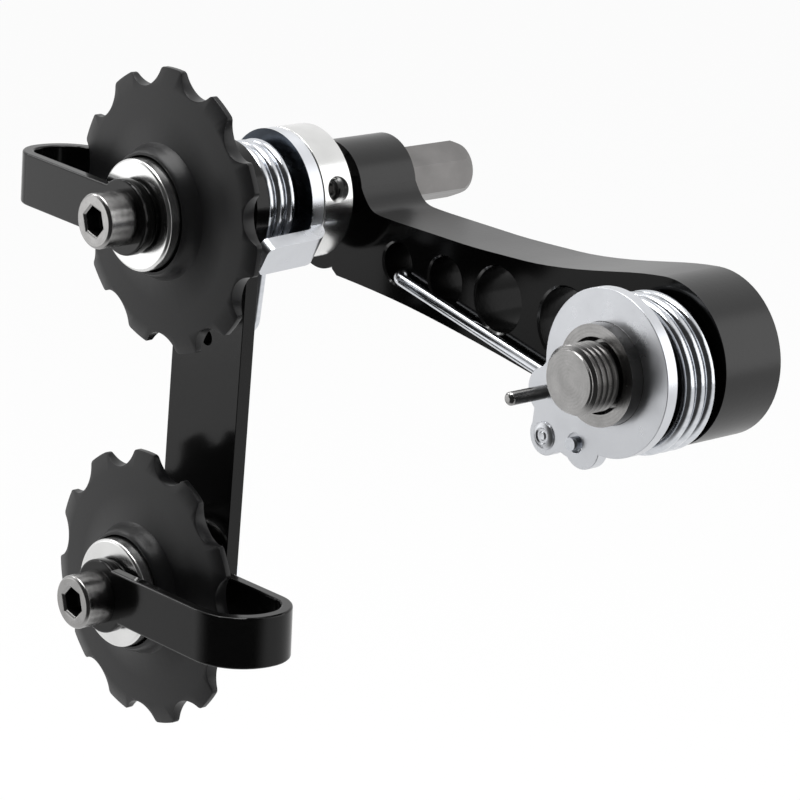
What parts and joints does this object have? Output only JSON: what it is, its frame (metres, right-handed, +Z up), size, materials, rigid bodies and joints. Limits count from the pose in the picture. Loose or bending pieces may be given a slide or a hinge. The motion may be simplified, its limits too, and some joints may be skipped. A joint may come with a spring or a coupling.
{
  "type": "bicycle chain tensioner",
  "caption": "Sprung chain tensioner: a black arm on a hanger bolt carries an adjustable hexagon shaft with a sprung cage of toothed pulleys inside looped chain guards.",
  "frame": {"origin": "on the axis of the M10 mount bolt, at the shoulder face that meets the frame's hanger", "axes": "+Y along every axle, from the hanger side to the wheel side; +Z up as hung; +X from the hexagon shaft to the mount bolt"},
  "size_m": [0.1134, 0.0716, 0.1026],
  "materials": {
    "zinc": "bright blue-white zinc plate",
    "steel": "bare turned steel",
    "black_coat": "satin black coat",
    "black_plastic": "moulded matte black plastic",
    "polished_alloy": "polished",
    "bronze": "sintered bearing bronze"
  },
  "bodies": {
    "mount": {"mount_bolt": "steel", "pivot_bush": "steel", "pivot_washer": "black_plastic", "mount_stop_plate": "zinc", "anchor_pin": "steel", "stop_stud": "zinc", "spring_guide": "black_plastic"},
    "arm": {"arm": "black_coat", "shaft_lock_screw": "steel", "arm_spring": "zinc"},
    "shaft": {"hex_shaft": "steel", "cage_stop_plate": "zinc", "collar": "polished_alloy", "collar_screw": "zinc", "upper_bolt": "steel", "upper_sleeve": "steel"},
    "cage": {"cage_plate": "black_coat", "cage_hub": "steel", "upper_guard": "black_coat", "lower_guard": "black_coat", "upper_front_cover": "polished_alloy", "upper_rear_cover": "polished_alloy", "lower_front_cover": "polished_alloy", "lower_rear_cover": "polished_alloy", "upper_front_spacer": "black_coat", "upper_rear_spacer": "black_coat", "lower_front_spacer": "black_coat", "lower_rear_spacer": "black_coat", "lower_bolt": "steel", "lower_sleeve": "steel", "lower_nut": "zinc", "cage_spring": "zinc"},
    "upper_wheel": {"upper_pulley": "black_plastic", "upper_bush": "bronze"},
    "lower_wheel": {"lower_pulley": "black_plastic", "lower_bush": "bronze"}
  },
  "joints": [
    {"name": "arm_pivot", "type": "hinge", "parent": "mount", "child": "arm", "pos_m": [0, 0, 0], "axis": [0, 1, 0], "range_deg": [0, 75], "stiffness_Nm_per_rad": 0.64, "springref_deg": -34.38, "deforming": ["arm_spring"]},
    {"name": "shaft_slide", "type": "slide", "parent": "arm", "child": "shaft", "axis": [0, 1, 0], "range_m": [-0.012, 0.0039]},
    {"name": "cage_pivot", "type": "hinge", "parent": "shaft", "child": "cage", "pos_m": [-0.0723, 0, 0.0154], "axis": [0, 1, 0], "range_deg": [0, 150], "stiffness_Nm_per_rad": 1, "springref_deg": -17.19, "deforming": ["cage_spring"]},
    {"name": "upper_pulley_spin", "type": "hinge", "parent": "cage", "child": "upper_wheel", "pos_m": [-0.0723, -0.01822, 0.0154], "axis": [0, 1, 0], "continuous": true},
    {"name": "lower_pulley_spin", "type": "hinge", "parent": "cage", "child": "lower_wheel", "pos_m": [-0.0797, -0.01822, -0.0444], "axis": [0, 1, 0], "continuous": true}
  ]
}
